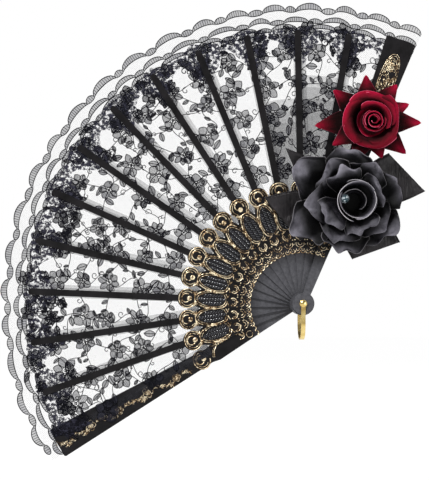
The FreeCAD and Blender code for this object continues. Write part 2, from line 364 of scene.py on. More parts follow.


# %% [markdown]
# The cloths of the flowers and the bow differ in how they catch light. Velvet is dark seen straight
# on and glows at its edges, satin has a broad soft streak, and the charcoal rose is a dull satin with
# a lilac bloom. Sheen gives the glow. The petals' colour also holds painted light: painted shade
# darkens the heart of a flower, a painted highlight pales the rim, and noise mixes shaded and lit
# patches. So each petal carries two attributes: how far outwards a point is, and its rim.

# %% Petals, ribbon, felt and glass
def make_petal_cloth(name, face, lit, rim, painted_heart_shade, sheen, sheen_tint, roughness, weave):
    finish = Finish(
        name, Sheen_Weight=sheen, Sheen_Roughness=0.35, Sheen_Tint=(*sheen_tint, 1.0),
        Specular_IOR_Level=0.12)
    where = finish.place()
    mottle = finish.speckle(where, 75.0, 5.0, 0.6)
    fibres = finish.speckle(where, 2600.0, 2.0)
    # Painted shade: towards the heart the colour goes to near black. The mottle mixes a shaded face
    # colour with a painted lit one.
    heart_shaded = finish.mix(finish.marked("outwards"), painted_heart_shade, finish.tint(mottle, face, lit))
    return finish.shade(
        # Painted highlight: a pale colour where the rim attribute is set.
        Base_Color=finish.mix(finish.marked("rim"), heart_shaded, rim), Roughness=roughness + mottle * 0.15,
        Normal=finish.bump(fibres * weave + mottle * 0.6, 0.0006, 0.9))


def make_satin_ribbon():
    finish = Finish("ribbon_satin", Specular_IOR_Level=0.22)
    where = finish.place()
    threads = finish.speckle(finish.node("Mapping", None, {0: where, 3: (900.0, 900.0, 60.0)}), 1.0, 2.0)
    # The fold noise bumps the ribbon's folds, and in the colour its lighter patches are a painted satin
    # sheen.
    fold = finish.speckle(where, 38.0, 3.0)
    return finish.shade(
        Base_Color=finish.tint(fold, (0.001, 0.0008, 0.001), (0.024, 0.021, 0.023)),
        Roughness=0.24 + threads * 0.26, Normal=finish.bump(fold + threads * 0.15, 0.003))


def make_felt():
    finish = Finish("felt", Roughness=0.95)
    hairs = finish.speckle(finish.place(), 1800.0, 4.0, 0.8)
    return finish.shade(
        Base_Color=finish.tint(hairs, (0.008, 0.008, 0.008), (0.03, 0.03, 0.03)),
        Normal=finish.bump(hairs, 0.0003))


def make_cut_glass():
    finish = Finish("cut_glass", Specular_IOR_Level=0.9, IOR=1.6, Coat_Weight=1.0)
    # Painted glints and dark reflections: each facet's colour is random, from dark teal to near white.
    facets = finish.node(
        "TexVoronoi", {"feature": "F1"}, {"Vector": finish.place(), "Scale": 900.0}, output="Color")
    painted_glint = finish.node("SeparateXYZ", None, {0: facets})
    return finish.shade(
        Base_Color=finish.tint(painted_glint, (0.05, 0.10, 0.12), (0.85, 0.95, 1.0)),
        Metallic=0.6, Roughness=0.05 + painted_glint * 0.08)


BLACK_PLASTIC = make_black_plastic()
ANTIQUE_GOLD = make_antique_gold()
ROPE_BLACK = make_rope_black()
POLISHED_BRASS = make_polished_brass()
LACE_NET = make_lace_net()
LACE_DOUBLE = make_lace_double()
LACE_CLOTH = make_lace_cloth()
LACE_CORD = make_lace_cord()
LACE_GATHER = make_lace_gather()
# Each cloth gets a face colour, a painted lit colour, a painted rim highlight and painted shade for the
# heart, then its sheen, sheen tint, roughness and weave.
BLACK_SATIN = make_petal_cloth(
    "black_rose_satin", (0.040, 0.038, 0.046), (0.250, 0.240, 0.280), (0.42, 0.40, 0.42),
    (0.0010, 0.0010, 0.0012), 0.10, (0.62, 0.58, 0.72), 0.5, 0.5)
RED_VELVET = make_petal_cloth(
    "red_velvet", (0.15, 0.000, 0.008), (0.36, 0.000, 0.028), (0.80, 0.14, 0.24),
    (0.005, 0.000, 0.000), 0.06, (1.0, 0.05, 0.15), 0.7, 0.8)
SATIN_RIBBON = make_satin_ribbon()
FELT = make_felt()
CUT_GLASS = make_cut_glass()
print("made", len(bpy.data.materials), "materials")

# %% [markdown]
# Cords, scrolls and outlines are all a thin round section swept along a line. One Geometry Nodes
# tree does that for any mesh made only of edges, and a second puts a small shape on every point.
# Both end in Realize Instances and Set Material, and the result is kept as a plain mesh.

# %% Two trees that grow ornament
def new_tree(name, sizes):
    """A Geometry Nodes tree with a mesh in, a mesh out, a finish, and named sizes."""
    tree = bpy.data.node_groups.new(name, "GeometryNodeTree")
    tree.interface.new_socket("Geometry", in_out="INPUT", socket_type="NodeSocketGeometry")
    tree.interface.new_socket("Geometry", in_out="OUTPUT", socket_type="NodeSocketGeometry")
    tree.interface.new_socket("Finish", in_out="INPUT", socket_type="NodeSocketMaterial")
    for size, kind in sizes.items():
        tree.interface.new_socket(size, in_out="INPUT", socket_type="NodeSocket" + kind)
    return tree, tree.nodes.new("NodeGroupInput"), tree.nodes.new("NodeGroupOutput")


def tree_node(tree, kind, inputs):
    made = tree.nodes.new("GeometryNode" + kind)
    for socket, value in inputs.items():
        if isinstance(value, bpy.types.NodeSocket):
            tree.links.new(value, made.inputs[socket])
        else:
            made.inputs[socket].default_value = value
    return made.outputs[0]


def finish_tree(tree, given, result, grown):
    real = tree_node(tree, "RealizeInstances", {"Geometry": grown})
    inputs = {"Geometry": real, "Material": given.outputs["Finish"]}
    tree.links.new(tree_node(tree, "SetMaterial", inputs), result.inputs[0])
    return tree


def make_cord_tree():
    tree, given, result = new_tree("cords_on_edges", {"Radius": "Float", "Sides": "Int"})
    lines = tree_node(tree, "MeshToCurve", {"Mesh": given.outputs["Geometry"]})
    profile = tree_node(tree, "CurvePrimitiveCircle", {
        "Resolution": given.outputs["Sides"], "Radius": given.outputs["Radius"]})
    swept = tree_node(tree, "CurveToMesh", {
        "Curve": lines, "Profile Curve": profile, "Fill Caps": True})
    return finish_tree(tree, given, result, swept)


def make_bead_tree():
    """Small spheres on points, stretched by Size and turned by Turn about the rivet's direction."""
    tree, given, result = new_tree("beads_on_points", {"Size": "Vector", "Turn": "Rotation"})
    ball = tree_node(tree, "MeshIcoSphere", {"Radius": 1.0, "Subdivisions": 2})
    placed = tree_node(tree, "InstanceOnPoints", {
        "Points": given.outputs["Geometry"], "Instance": ball,
        "Rotation": given.outputs["Turn"], "Scale": given.outputs["Size"]})
    return finish_tree(tree, given, result, placed)


CORD_TREE = make_cord_tree()
BEAD_TREE = make_bead_tree()


def grow(tree, points, edges, **inputs):
    """Runs a tree over points and edges, and returns the plain mesh it makes."""
    seed = bpy.data.meshes.new("seed")
    seed.from_pydata([tuple(p) for p in points], edges, [])
    obj = add_to_scene("seed", seed)
    modifier = obj.modifiers.new("grow", "NODES")
    modifier.node_group = tree
    names = {item.name: item.identifier for item in tree.interface.items_tree if item.in_out == "INPUT"}
    for name, value in inputs.items():
        modifier[names[name]] = value
    evaluated = obj.evaluated_get(bpy.context.evaluated_depsgraph_get())
    mesh = bpy.data.meshes.new_from_object(evaluated)
    obj.modifiers.remove(modifier)
    bpy.data.objects.remove(obj)
    return mesh


def sweep_lines(lines, radius, finish, sides):
    """A cord along each list of points, in one mesh; radius is in millimetres."""
    points, edges = [], []
    for line in lines:
        first = len(points)
        points += line
        edges += [(first + n, first + n + 1) for n in range(len(line) - 1)]
    return grow(CORD_TREE, points, edges, Radius=radius * MM, Sides=sides, Finish=finish)


# %% [markdown]
# Most pieces are several meshes joined: a sheet, the cords on it, the beads. These helpers gather
# plain meshes into one object and keep each part's material, and they note where every point of a
# cloth lay before pleating, so that the weave doesn't slide when the fan folds.

# %% Helpers that make objects
def mesh_of(points, faces, finish):
    mesh = bpy.data.meshes.new("part")
    mesh.from_pydata([tuple(p) for p in points], [], faces)
    mesh.materials.append(finish)
    return mesh


def grid_faces(rows, columns, closed=False):
    """Quads over rows of points that were listed one row after another."""
    faces = []
    for i in range(rows - 1):
        for j in range(columns if closed else columns - 1):
            a, b = i * columns + j, i * columns + (j + 1) % columns
            faces.append((a, b, b + columns, a + columns))
    return faces


def gather(name, meshes):
    """One smooth object from several meshes, which keep their materials."""
    points, faces, slots, finishes = [], [], [], []
    for mesh in meshes:
        base = len(points)
        points += [v.co.copy() for v in mesh.vertices]
        for finish in mesh.materials:
            if finish not in finishes:
                finishes.append(finish)
        for polygon in mesh.polygons:
            faces.append([base + v for v in polygon.vertices])
            slots.append(finishes.index(mesh.materials[polygon.material_index]))
        bpy.data.meshes.remove(mesh)
    whole = bpy.data.meshes.new(name)
    whole.from_pydata(points, [], faces)
    for finish in finishes:
        whole.materials.append(finish)
    whole.polygons.foreach_set("material_index", slots)
    whole.polygons.foreach_set("use_smooth", [True] * len(faces))
    whole.update()
    return add_to_scene(name, whole)


def keep_flat_place(obj):
    """Notes each point's place on the open fan, in millimetres, as the UV map named flat."""
    layer = obj.data.uv_layers.new(name="flat")
    for loop in obj.data.loops:
        co = obj.data.vertices[loop.vertex_index].co
        layer.data[loop.index].uv = (co.x / MM, co.z / MM)




# %% [markdown]
# The relief on every stick is the same casting, so it is drawn once along a stick that points along
# +X, in millimetres: a medallion with a scroll and a bead, a long cell of rope between double gold
# lines, a bow between two cells, two staggered rows of open rings and a scalloped edge. It stands
# only a third of a millimetre proud, because the next stick closes over it.

# %% The drawing of one blade
RELIEF = 0.34
MEDALLION_AT = 88.2
MEDALLION_LONG = 6.5
MEDALLION_WIDE = 7.3
CELL_START = 58.5
CELL_END = 80.5


def arc(cx, cy, radius, start, end, steps=14, stretch=1.0):
    turns = [math.radians(a) for a in steps_between(start, end, steps)]
    return [(cx + radius * math.cos(a), cy + radius * stretch * math.sin(a)) for a in turns]


def cell_half(x):
    """Half the width of the rope cell, pointed towards the rivet and blunt outwards."""
    share = (x - CELL_START) / (CELL_END - CELL_START)
    return 5.4 * max(0.0, math.sin(math.pi * min(1.0, share) ** 0.8)) ** 0.5


def cell_line(side, grow_by):
    """One side of the cell from its point to its blunt end, moved outwards by grow_by."""
    line = []
    for x in steps_between(CELL_START, CELL_END, 16):
        stretch = (x - (CELL_START + CELL_END) / 2) / (CELL_END - CELL_START)
        line.append((x + stretch * 2 * grow_by, side * (cell_half(x) + grow_by)))
    return line


def spiral(cx, cy, radius, start, turns, shrink, steps=20):
    return [
        around(cx, cy, radius * (1 - shrink * share), math.radians(start + 360 * turns * share))
        for share in steps_between(0.0, 1.0, steps)]


def medallion():
    """Heavy and fine lines of the round end of a blade: two rings with a scroll in them."""
    m, wide = MEDALLION_AT, MEDALLION_WIDE / MEDALLION_LONG
    heavy = [arc(m, 0, MEDALLION_LONG, -165, 165, 28, wide), spiral(m + 1.0, 0, 3.9, -120, 0.7, 0.3)]
    return heavy, [arc(m, 0, MEDALLION_LONG - 1.5, -135, 135, 22, wide)]


def open_rings(side):
    """The large open ring, to one side of the middle, and the two small ones nearest the rivet."""
    return [arc(52.6, side * 1.4, 2.8, 50, 310, 16, 1.1)] + [
        arc(40.9, y, 1.8, 85, 275, 10) for y in (-1.0, 3.0)]


def blade_lines():
    """Heavy and fine gold lines of one blade."""
    heavy, fine = medallion()
    heavy += open_rings(1) + [[(81.0, -5.4), (82.4, -2.4), (82.4, 2.4), (81.0, 5.4)]]
    fine += [
        arc(52.6, 1.4, 1.7, 60, 300, 12), arc(46.4, 1.1, 2.7, 70, 290, 14, 1.2),
        arc(46.8, 1.1, 1.5, 80, 280, 10), arc(47.2, -2.8, 1.4, 100, 300, 8),
        arc(41.9, -1.0, 1.0, 60, 300, 8), arc(41.9, 3.0, 1.0, 60, 300, 8)]
    for side in (-1, 1):
        heavy.append(cell_line(side, 1.6))
        fine.append(cell_line(side, 0.4))
        fine.append(spiral(83.4, side * 4.4, 1.4, 90 * side, side * 0.8, 0.5, 10))
        heavy.append([(57.4, side * 1.2), (56.4, side * 3.0), (55.6, side * 4.6)])
    for reach in (-1, 1):
        for curl in (0.9, -0.5):
            fine.append([
                (70.0, 6.7), (70 + reach * 2.4, 6.7 + curl), (70 + reach * 5.0, 6.9 + curl * 0.6)])
    return heavy, fine


def blade_beads():
    """Places and radii of the round gold beads."""
    return [
        (MEDALLION_AT - 1.7, 0.0, 1.95), (70.0, 6.7, 1.25), (67.3, 6.7, 0.8), (72.7, 6.7, 0.8),
        (49.2, 1.2, 0.6), (43.2, 1.0, 0.6), (49.4, -2.6, 0.5), (49.4, 5.0, 0.5)]


ROPE_PITCH = 2.15
ROPE_ROWS = 3.0


def rope_strands():
    """Places of the slanted strands that fill the cell, in rows along the stick."""
    strands = []
    for row in (-1, 0, 1):
        for n in range(14):
            x = CELL_START + 1.4 + n * ROPE_PITCH + row * 0.55
            if x < CELL_END - 0.6 and abs(row * ROPE_ROWS) + 0.9 < cell_half(x):
                strands.append((x, row * ROPE_ROWS))
    return strands


# %% [markdown]
# The last stick of the fan is the rear guard. Nothing closes over it, so its blade is cast
# differently: a plain plate, with the medallion and one bow of two forks joined by a string of
# beads. The long parts of both guards are painted with gold flowers, thin enough to be flat.

# %% The drawing of the guards
def guard_bow_lines():
    heavy, fine = medallion()
    heavy += open_rings(-1) + [
        [(78.2, -10.0), (75.6, -6.6), (72.0, -4.6)], [(78.4, 3.1), (76.4, -1.4), (72.0, -4.6)],
        [(53.2, -9.0), (55.4, -6.4), (58.5, -5.1)], [(51.3, 0.1), (54.0, -3.4), (58.5, -5.1)]]
    fine += [
        [(79.4, -9.0), (76.6, -5.6), (73.6, -4.6), (77.0, -2.4), (79.6, 2.6)],
        [(52.4, -8.0), (54.8, -5.2), (53.0, -3.0), (50.4, -0.2)], arc(46.0, 1.1, 2.5, 0, 360, 16)]
    return heavy, fine


def guard_bow_beads():
    string = [(59.5 + 1.9 * n, -5.1 + 0.07 * n, 1.05 - 0.09 * abs(n - 3)) for n in range(7)]
    return [(MEDALLION_AT - 1.7, 0.0, 1.95)] + [(x, y, round(r, 2)) for x, y, r in string]


def gold_rose(x, y, size):
    """A small painted rose: a whorl, and petals as arcs round it."""
    lines = [spiral(x, y, size * 0.45, 30, 1.6, 0.8, 18)]
    for n in range(5):
        middle = around(x, y, size * 0.62, math.radians(72 * n + 20))
        lines.append(arc(*middle, size * 0.36, 72 * n - 80, 72 * n + 120, 8))
    return lines


def gold_sprig(x, y, length, lean, draw):
    """A painted stem with curled leaves on both sides."""
    c, s = math.cos(math.radians(lean)), math.sin(math.radians(lean))
    stem = [
        (x + c * d - s * 1.2 * math.sin(d * 0.5), y + s * d + c * 1.2 * math.sin(d * 0.5))
        for d in steps_between(0.0, length, 8)]
    lines = [stem]
    for n in (2, 4, 6, 8):
        side = 1 if n % 4 else -1
        lines.append(spiral(*stem[n], draw.uniform(1.2, 1.9), lean + side * 90, side * 0.7, 0.6, 8))
    return lines


def front_guard_gold():
    """A tall drop of gold lace near the tip of the front guard."""
    draw = random.Random(21)
    middle, half_long, half_wide = 184.0, 21.0, 6.6
    outline, inner = [], []
    for a in steps_between(0, 2 * math.pi, 40):
        wide = half_wide * math.copysign(abs(math.sin(a)) ** 0.75, math.sin(a))
        outline.append((middle + half_long * math.cos(a), wide))
        inner.append((middle + (half_long - 1.5) * math.cos(a), wide * 0.8))
    lines = [outline, inner] + gold_rose(197.0, 0.0, 5.0) + gold_rose(197.0, 0.0, 3.4)
    for n in range(54):
        x = draw.uniform(middle - half_long * 0.9, middle + half_long * 0.8)
        y = draw.uniform(-0.75, 0.75) * half_wide
        lines.append(spiral(x, y, draw.uniform(1.1, 2.2), draw.uniform(0, 360), 1.1, 0.7, 10))
    return lines


def rear_guard_gold():
    """Painted roses with sprigs between them along the rear guard."""
    draw = random.Random(22)
    lines = []
    for n, x in enumerate((112.0, 137.0, 163.0, 188.0, 204.0)):
        side = 1.8 - 1.0 * (n % 2)
        lines += gold_rose(x, side, 3.4 + 0.9 * (n % 2))
        lines += gold_rose(x, side, 2.2)
        lines += gold_sprig(x + 5, side, 8.5, draw.uniform(-14, 14), draw)
        lines += gold_sprig(x - 5, side, 7.5, 180 + draw.uniform(-14, 14), draw)
        lines += gold_sprig(x + 3, side + 2.0, 5.0, draw.uniform(0, 12), draw)
    return lines


# %% [markdown]
# A drawing becomes relief in three steps: each line is swept with the cord tree, each bead and each
# strand of rope is placed with the bead tree, and the whole is squashed towards the plate so that it
# stays low. A copy is then turned to each stick's angle and set on its front face.

# %% Relief on every blade
HEAVY_LINE = 0.40
FINE_LINE = 0.23
PAINTED_LINE = 0.21
PAINT_FLATTENING = 0.5
ROPE_STRAND = (1.75 * MM, 0.75 * MM, 0.64 * MM)
ROPE_LEAN = (0.0, math.radians(-46), 0.0)


def raised(points):
    return [Vector((x * MM, 0.0, y * MM)) for x, y in points]


def gilded(lines, radius, sides):
    """Gold wire along drawn lines."""
    return sweep_lines([raised(line) for line in lines], radius, ANTIQUE_GOLD, sides)


def blade_relief(lines, beads, strands):
    """The relief of one stick that points along +X, with y = 0 on its face."""
    parts = [gilded(lines[0], HEAVY_LINE, 6), gilded(lines[1], FINE_LINE, 5)]
    for radius in sorted({bead[2] for bead in beads}):
        places = raised([(x, y) for x, y, r in beads if r == radius])
        size = (radius * MM, radius * MM, radius * MM)
        parts.append(grow(BEAD_TREE, places, [], Size=size, Finish=ANTIQUE_GOLD))
    if strands:
        parts.append(grow(
            BEAD_TREE, raised(strands), [], Size=ROPE_STRAND, Turn=ROPE_LEAN, Finish=ROPE_BLACK))
    for mesh in parts:
        highest = max(abs(v.co.y) for v in mesh.vertices)
        for v in mesh.vertices:
            v.co.y *= RELIEF * MM / max(highest, RELIEF * MM)
    return parts


def add_ornament(name, meshes, number):
    """Turns a piece made along +X to a stick's angle, and puts y = 0 on the stick's front face."""
    piece = gather(name, meshes)
    turn = Matrix.Rotation(-math.radians(STICKS[number]["angle"]), 4, "Y")
    piece.data.transform(Matrix.Translation((0, STICKS[number]["front"] * MM, 0)) @ turn)
    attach(piece, BODIES[number])
    return piece


for number in range(PANELS):
    cast = blade_relief(blade_lines(), blade_beads(), rope_strands())
    relief = add_ornament(f"blade_relief_{number:02d}", cast, number)
add_ornament(
    "rear_guard_relief", blade_relief(guard_bow_lines(), guard_bow_beads(), []), PANELS)
for name, drawing, number in (
        ("front_guard_gold", front_guard_gold(), 0), ("rear_guard_gold", rear_guard_gold(), PANELS)):
    painted = gilded(drawing, PAINTED_LINE, 5)
    for v in painted.vertices:
        v.co.y *= PAINT_FLATTENING
    add_ornament(name, [painted], number)
print("relief on", len(STICKS), "blades,", len(relief.data.polygons), "faces each")

# %% [markdown]
# The camera comes next, because everything after is judged through it: a long lens, so that the fan
# keeps its proportions, aimed at the middle of the open leaf.

# %% Camera, light and floor
VIEW_CENTRE = Vector((-67.5 * MM, 0.0, 49.0 * MM))
VIEW_HEIGHT = 370 * MM
VIEW_DISTANCE = 2.2
VIEW_AZIMUTH = -5.0
ROOM_LIGHT = 0.22
FLOOR_HALF = 3.0
FLOOR_BELOW = 0.012


def make_camera():
    data = bpy.data.cameras.new("camera")
    data.lens = data.sensor_width * VIEW_DISTANCE / VIEW_HEIGHT
    camera = add_to_scene("camera", data)
    turn = math.radians(VIEW_AZIMUTH)
    away = Vector((math.sin(turn), -math.cos(turn), 0.0))
    camera.location = VIEW_CENTRE + away * VIEW_DISTANCE
    camera.rotation_euler = (-away).to_track_quat("-Z", "Y").to_euler()
    bpy.context.scene.camera = camera


def make_light(name, place, size, power):
    data = bpy.data.lights.new(name, "AREA")
    data.size = size
    data.energy = power
    light = add_to_scene(name, data)
    light.location = place
    light.rotation_euler = (VIEW_CENTRE - Vector(place)).to_track_quat("-Z", "Y").to_euler()


def make_floor():
    half, depth = FLOOR_HALF, cad_box[0][2] - FLOOR_BELOW
    corners = [(-half, -half, depth), (half, -half, depth), (half, half, depth), (-half, half, depth)]
    glow = Finish(
        "floor_white", Base_Color=(0.05, 0.05, 0.05), Roughness=0.9, Specular_IOR_Level=0.0,
        Emission_Color=(1.0, 1.0, 1.0), Emission_Strength=0.98).material
    add_to_scene("floor", mesh_of(corners, [(0, 1, 2, 3)], glow))


def make_world():
    """A white room: the camera sees it at full strength, and its light on the fan is soft."""
    world = bpy.data.worlds.new("white_room")
    world.use_nodes = True
    tree = world.node_tree
    seen = tree.nodes.new("ShaderNodeLightPath").outputs["Is Camera Ray"]
    strength = tree.nodes.new("ShaderNodeMapRange")
    tree.links.new(seen, strength.inputs["Value"])
    strength.inputs["To Min"].default_value = ROOM_LIGHT
    strength.inputs["To Max"].default_value = 1.0
    tree.nodes["Background"].inputs["Color"].default_value = (1, 1, 1, 1)
    tree.links.new(strength.outputs["Result"], tree.nodes["Background"].inputs["Strength"])
    bpy.context.scene.world = world
    bpy.context.scene.view_settings.view_transform = "Standard"


make_camera()
make_light("key", (-0.75, -0.85, 1.15), 0.3, 34)
make_light("fill", (0.9, -0.9, 0.2), 0.7, 6)
make_light("rim", (0.6, 1.2, 0.9), 0.5, 14)
make_floor()
make_world()

# %% [markdown]
# The leaf is one strip of lace, glued to the back of every rib. Between two ribs it has to cross
# from the back of the front one to the back of the next, and it hides behind the medallions close to
# the rivet. A single function gives the place of any point of the lace from how many sticks round it
# is and how far out, and every stitch, flower and scallop is laid on that surface.

# %% The open leaf as a surface
def outer_radius(node):
    co = points_of(node)
    return float(np.hypot(co[:, 0], co[:, 2]).max())


LEAF_START = 79.0
BLADES_END = 88.0
VEILS = (172.0, 176.0, 158.0)
LEAF_OUTER = outer_radius("leaf_panel_07")
EDGE_OUTER = outer_radius("edging_panel_07")
RIB_TIP = STICKS[1]["reach"]
GLUE = 0.04
TAUT_WAVE = 0.15
RUFFLE = 2.4


def ripple(turn, radius):
    """Waves of the loose cloth: hardly any between the ribs, and full ruffles at the edge. They are
    the same in every gap, and on both sides of its fold, so that the closed fan's layers nest."""
    loose = smooth_step((radius - RIB_TIP + 12) / 26)
    slow = noise.noise(Vector((abs(turn % 1.0 - 0.5) * 2.6, radius * 0.02, 1.7)))
    return TAUT_WAVE * slow + loose * (RUFFLE * math.cos(turn * 4 * math.pi) + RUFFLE * slow)


def leaf_depth(turn, radius):
    number = min(PANELS - 1, max(0, int(turn)))
    share = turn - number
    settled = 0.45 + 0.45 * smooth_step((radius - 92.0) / 25.0)
    start, end = FACES[number], FACES[number + 1]
    return start + GLUE + (end - start) * smooth_step((share - 0.08) / (settled - 0.08))


def on_leaf(turn, radius, lift=0.0):
    """A point of the lace in metres. turn counts sticks from the front guard, radius is in mm."""
    x, z = fan_place(turn, radius)
    return Vector((x, leaf_depth(turn, radius) + ripple(turn, radius) - lift, z)) * MM


def polar(x, z):
    """turn and radius of a place on the open leaf, in millimetres."""
    return ((math.degrees(math.atan2(z, x)) % 360 - OPEN_START) / STEP, math.hypot(x, z))


def fan_place(turn, radius):
    """A flat place in millimetres, from sticks round and distance out."""
    return around(0.0, 0.0, radius, math.radians(OPEN_START + turn * STEP))


def fold_with_leaf(obj, number):
    """On the fan the cloth between two sticks folds down its middle: the first half stays with the first
    stick, and the second half swings over it with the second stick. This only bakes the piece's place
    into its mesh, and doesn't fold it."""
    ends = [on_leaf(number, RIB_TIP), on_leaf(number + 1, RIB_TIP)]
    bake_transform(obj)


print("leaf from", LEAF_START, "to", round(LEAF_OUTER), "mm, edging to", round(EDGE_OUTER), "mm")

# %% [markdown]
# Each panel of net is a grid over one gap. The strip was cut with less taper than the sticks spread,
# so the spare cloth near the rivet is folded over beside each rib: those doubled bands are what
# makes the grey stripes next to the ribs, and they narrow towards the tips.

# %% The net of the leaf
DOUBLED_LAYERS = ((0.05, 1.0), (0.09, 0.6))
LINING_LAYERS = (0.12, 0.15, 0.18)
VEIL_STEPS = 300


def leaf_grid(turns, radii_mm, lift=0.0):
    """Points of a patch of lace; turns is a function of the radius and a share from 0 to 1."""
    shares = steps_between(0.0, 1.0, 12)
    points = [on_leaf(turns(r, share), r, lift) for r in radii_mm for share in shares]
    return points, grid_faces(len(radii_mm), len(shares))


def doubled_band(start, side, width_in, width_out):
    """The places of spare cloth beside a rib, which is width_in wide near the rivet."""
    def turns(radius, share):
        width = width_in + (width_out - width_in) * smooth_step((radius - LEAF_START) / 100.0)
        return start + side * width / (radius * math.radians(STEP)) * share
    return turns


def make_leaf_panel(number):
    rings = steps_between(LEAF_START, LEAF_OUTER, 30)
    draw = random.Random(40 + number)
    wide, narrow = draw.uniform(6.5, 9.0), draw.uniform(2.0, 4.0)
    patches = [mesh_of(*leaf_grid(lambda r, s: number + s, rings), LACE_NET)]
    for layer, share in DOUBLED_LAYERS:
        for band in (
                doubled_band(number + 0.98, -1, wide * share, 5.5 * share),
                doubled_band(number + 0.03, 1, narrow * share, 2.6 * share)):
            patches.append(mesh_of(*leaf_grid(band, rings, -layer), LACE_DOUBLE))
    return gather(f"lace_leaf_{number + 1:02d}", patches)


def make_lining(number):
    """Spare net behind the leaf: a few layers between the blades. In the first panels more layers reach
    out behind the flowers, which makes the lace there darker.
    """
    patches = []
    for layer in LINING_LAYERS:
        shorter = VEIL_STEPS * (layer - LINING_LAYERS[0])
        reach = VEILS[number] - shorter if number < len(VEILS) else BLADES_END
        rings = steps_between(LEAF_START, reach, 20)
        patches.append(mesh_of(*leaf_grid(lambda r, s: number + s, rings, -layer), LACE_DOUBLE))
    return gather(f"lace_lining_{number + 1:02d}", patches)


# %% [markdown]
# Machine lace is drawn as if with a pen: an outline in heavy cord, filled with fine parallel threads.
# The drawing is made flat, in millimetres, and each stroke is then shared out between the panels that
# it crosses, so a flower can run under a rib and come out on the other side.

# %% A pen for lace
CORD_LIFT = 0.2
FILL_LIFT = 0.12


class LaceWork:
    """Cords, threads and fills of lace, sorted by the panel that they lie on."""

    def __init__(self):
        self.fills = [([], []) for _ in range(PANELS)]
        self.cords = [[] for _ in range(PANELS)]
        self.threads = [[] for _ in range(PANELS)]

    def panel(self, x, z):
        return min(PANELS - 1, max(0, int(polar(x, z)[0])))

    def fill(self, rows):
        """A patch of close threads over a grid of flat places."""
        for a, b in zip(rows, rows[1:]):
            for n in range(len(a) - 1):
                corners = (a[n], a[n + 1], b[n + 1], b[n])
                middle = [sum(c[i] for c in corners) / 4 for i in (0, 1)]
                points, faces = self.fills[self.panel(*middle)]
                faces.append(tuple(range(len(points), len(points) + 4)))
                points += [on_leaf(*polar(x, z), FILL_LIFT) for x, z in corners]

    def cord(self, line, thin=False):
        """A line of flat places, cut where it passes from one panel to the next."""
        run, panel = [], None
        for first, second in zip(line, line[1:]):
            here = self.panel(*part_way(first, second, 0.5))
            if here != panel:
                run = [on_leaf(*polar(*first), CORD_LIFT)]
                (self.threads if thin else self.cords)[here].append(run)
                panel = here
            run.append(on_leaf(*polar(*second), CORD_LIFT))

    def shape(self, outline_left, outline_right, hatches):
        """A filled shape between two sides, outlined in cord and hatched from side to side."""
        self.fill([
            [part_way(left, right, share) for share in (0.0, 0.33, 0.67, 1.0)]
            for left, right in zip(outline_left, outline_right)])
        self.cord(outline_left + outline_right[::-1])
        last = len(outline_left) - 1
        for n in range(1, hatches):
            at = n * last / hatches
            i = int(at)
            share = at - i
            self.cord([
                part_way(side[i], side[min(last, i + 1)], share)
                for side in (outline_left, outline_right)], thin=True)


def turned_place(x, z, along, across, direction):
    c, s = math.cos(direction), math.sin(direction)
    return (x + along * c - across * s, z + along * s + across * c)


def petal_sides(x, z, start, length, half, direction, blunt):
    """Both sides of a petal that starts at a distance from its flower's middle."""
    left, right = [], []
    for s in steps_between(0.0, 1.0, 8):
        width = half * math.sin(math.pi * s ** blunt) ** 0.75 if 0 < s < 1 else 0.0
        left.append(turned_place(x, z, start + length * s, width, direction))
        right.append(turned_place(x, z, start + length * s, -width, direction))
    return left, right


def lace_tendril(work, x, z, radius, direction, side):
    """A thread that curls up on itself."""
    work.cord([around(x, z, radius * (1 - n / 19), direction + side * 0.42 * n) for n in range(15)])


def lace_ring(work, x, z, radius, steps=10):
    work.cord(arc(x, z, radius, 0, 360, steps))


def lace_flower(work, x, z, size, petals, draw):
    first = draw.uniform(0, 2 * math.pi)
    for n in range(petals):
        direction = first + 2 * math.pi * n / petals + draw.uniform(-0.12, 0.12)
        length = size * draw.uniform(0.62, 0.84)
        half = size * 2.0 / petals * draw.uniform(0.8, 1.1)
        work.shape(*petal_sides(x, z, size * 0.24, length, half, direction, 0.8), 7)
    lace_ring(work, x, z, size * 0.24)
    lace_ring(work, x, z, size * 0.11, 6)


def lace_leaf(work, x, z, length, direction, draw):
    half = length * draw.uniform(0.20, 0.3)
    work.shape(*petal_sides(x, z, 0.0, length, half, direction, 1.0), 8)
    work.cord([turned_place(x, z, length * s, 0.0, direction) for s in (0.0, 0.5, 0.95)])


def lace_vine(work, start, end, bow, draw):
    """A stem that bows to one side, with leaves and a bud on it."""
    length = math.dist(start, end)
    direction = math.atan2(end[1] - start[1], end[0] - start[0])
    line = []
    for s in steps_between(0.0, 1.0, 12):
        swing = bow * math.sin(2 * math.pi * s) + bow * 0.5 * math.sin(math.pi * s)
        line.append(turned_place(*start, length * s, swing, direction))
    work.cord(line)
    for place in (3, 6, 9):
        side = draw.choice((-1, 1))
        lean = direction + side * draw.uniform(0.7, 1.3)
        if draw.random() < 0.6:
            lace_leaf(work, *line[place], draw.uniform(4.0, 9.0), lean, draw)
        else:
            size = draw.uniform(1.6, 3.0)
            middle = turned_place(*line[place], size, 0.0, lean)
            lace_tendril(work, *middle, size, lean + math.pi, side)


# %% [markdown]
# The flowers stand in rings round the rivet, staggered like bricks and then pushed about a little by
# a seeded draw, and stems run from each to its neighbours. This fills the leaf evenly but never
# repeats on two panels.

# %% The flowered ground
FLOWER_RINGS = ((104.0, 11), (126.0, 13), (148.0, 15), (170.0, 17), (192.0, 19))


